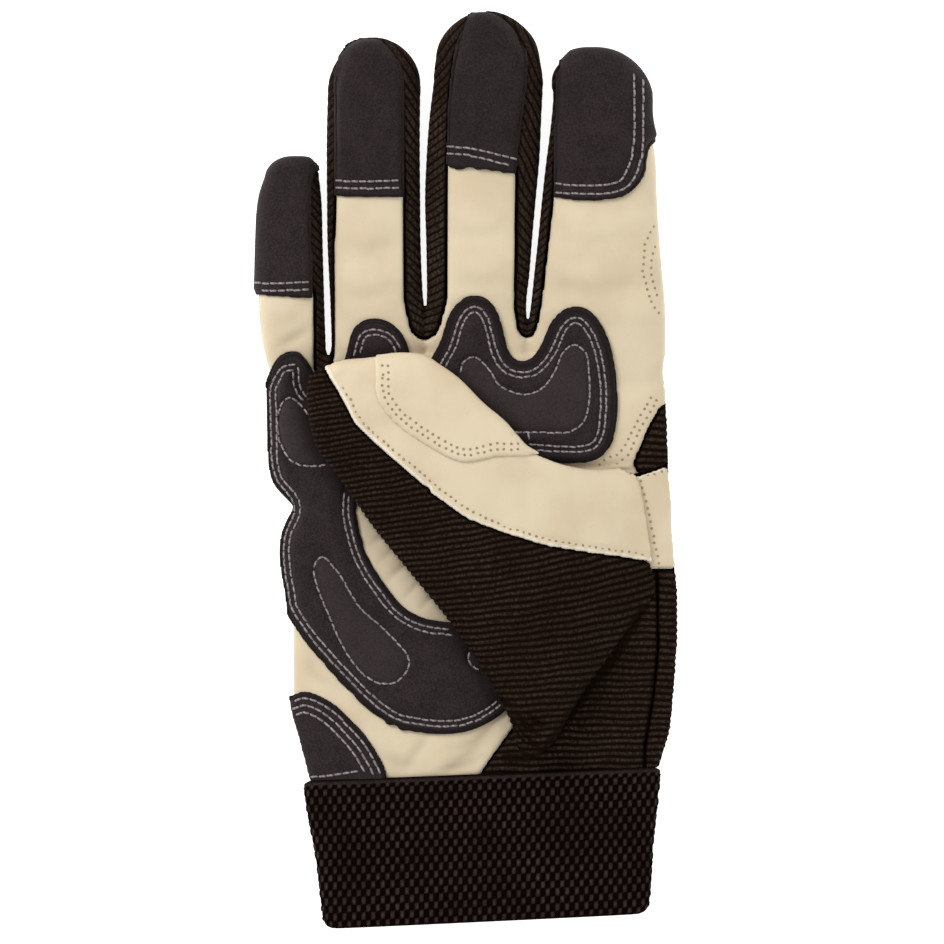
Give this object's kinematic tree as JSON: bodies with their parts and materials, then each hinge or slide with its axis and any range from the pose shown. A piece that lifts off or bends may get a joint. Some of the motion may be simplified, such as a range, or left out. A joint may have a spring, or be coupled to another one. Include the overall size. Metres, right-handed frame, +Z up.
{
  "type": "protective work glove",
  "caption": "Right-hand protective work glove lying palm up with the thumb folded over the palm: cream leather, rib-knit back, padded suede tips and palm pads, elastic cuff.",
  "frame": {"origin": "centre of the glove's footprint on the surface that it lies on", "axes": "+X towards the thumb side, +Y towards the fingertips, +Z up out of the palm"},
  "size_m": [0.114, 0.248, 0.0237],
  "materials": {
    "cream_leather": "smooth grain leather, soft sheen",
    "dark_suede": "napped synthetic suede, matt",
    "black_knit": "ribbed knit, matt",
    "cuff_elastic": "woven elastic with a raised pattern, low sheen"
  },
  "bodies": {
    "root": {"palm_leather": "cream_leather", "back_knit": "black_knit", "side_wall_little_ring": "black_knit", "side_wall_ring_middle": "black_knit", "side_wall_middle_index": "black_knit", "tip_cap_little": "dark_suede", "tip_cap_ring": "dark_suede", "tip_cap_middle": "dark_suede", "tip_cap_index": "dark_suede", "knuckle_pad": "dark_suede", "heel_pad": "dark_suede", "wrist_patch": "dark_suede", "thumb_leather": "cream_leather", "crotch_patch": "cream_leather", "thumb_knit": "black_knit", "wrist_knit": "black_knit", "side_gusset": "black_knit", "side_leather": "cream_leather", "side_knit": "black_knit", "cuff": "cuff_elastic"}
  },
  "joints": []
}
